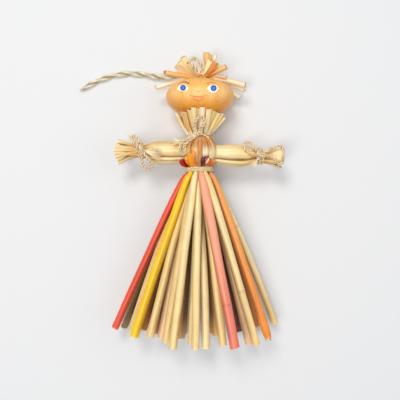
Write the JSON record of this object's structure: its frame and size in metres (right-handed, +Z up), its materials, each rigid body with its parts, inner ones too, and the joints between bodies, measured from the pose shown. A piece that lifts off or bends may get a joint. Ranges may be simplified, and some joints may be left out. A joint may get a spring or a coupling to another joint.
{
  "type": "straw doll",
  "caption": "Straw doll lying on its back: bundled straws tied with twine at neck, waist and wrists, a turned wooden bead for a head, a tuft of straw hair and a fanned skirt.",
  "frame": {"origin": "on the table under the middle of the figure's box, the hanging cord left out", "axes": "+X across the figure from its right hand to its left hand, +Y up the body from the hem to the hair, +Z up from the table out of the doll's face"},
  "size_m": [0.126, 0.177, 0.0406],
  "materials": {
    "straw": "satin dry straw",
    "red": "satin dyed straw",
    "dark_red": "satin dyed straw",
    "yellow": "satin dyed straw",
    "salmon": "satin dyed straw",
    "orange": "satin dyed straw",
    "olive": "satin dyed straw",
    "twine": "fibrous twine",
    "cord": "fibrous two-ply cord",
    "wood": "varnished turned wood"
  },
  "bodies": {
    "torso": {"body_straw_back_1": "straw", "body_straw_back_2": "straw", "body_straw_back_3": "straw", "body_straw_back_4": "straw", "body_straw_back_5": "straw", "body_straw_front_1": "straw", "body_straw_front_2": "straw", "body_straw_front_3": "straw", "body_straw_front_4": "straw", "body_straw_front_5": "straw", "collar_straw_01": "straw", "collar_straw_02": "straw", "collar_straw_03": "straw", "collar_straw_04": "straw", "collar_straw_05": "straw", "collar_straw_06": "straw", "collar_straw_07": "straw", "collar_straw_08": "straw", "collar_straw_09": "straw", "collar_straw_10": "straw", "hair_loop": "twine", "hair_straw_droop_left": "straw", "hair_straw_droop_right_1": "straw", "hair_straw_droop_right_2": "straw", "hair_straw_left": "straw", "hair_straw_right": "straw", "hair_straw_top": "straw", "hair_straw_top_left_1": "straw", "hair_straw_top_left_2": "straw", "hair_straw_top_right": "straw", "hanging_cord": "cord", "neck_stalk": "straw", "neck_tie": "twine", "skirt_straw_back_dark_red": "dark_red", "skirt_straw_back_left_1": "straw", "skirt_straw_back_left_2": "straw", "skirt_straw_back_middle": "straw", "skirt_straw_back_right_1": "straw", "skirt_straw_back_right_2": "straw", "skirt_straw_front_pale": "straw", "skirt_straw_left_pale": "straw", "skirt_straw_olive": "olive", "skirt_straw_orange": "orange", "skirt_straw_red": "red", "skirt_straw_right_pale": "straw", "skirt_straw_salmon": "salmon", "skirt_straw_yellow": "yellow", "waist_tie": "twine"},
    "head": {"head": "wood"},
    "arms": {"arm_straw_1": "straw", "arm_straw_2": "straw", "arm_straw_3": "straw", "arm_straw_4": "straw", "arm_straw_5": "straw", "arm_straw_6": "straw", "arm_straw_middle": "straw", "wrist_tie_left": "twine", "wrist_tie_right": "twine"}
  },
  "joints": [
    {"name": "head_turn", "type": "hinge", "parent": "torso", "child": "head", "pos_m": [0.00114, 0.06062, 0.0203], "axis": [0, 1, 0], "continuous": true},
    {"name": "arms_roll", "type": "hinge", "parent": "torso", "child": "arms", "pos_m": [0.00114, 0.02671, 0.0203], "axis": [0.999, -0.0454, 0], "range_deg": [-25, 25]}
  ]
}
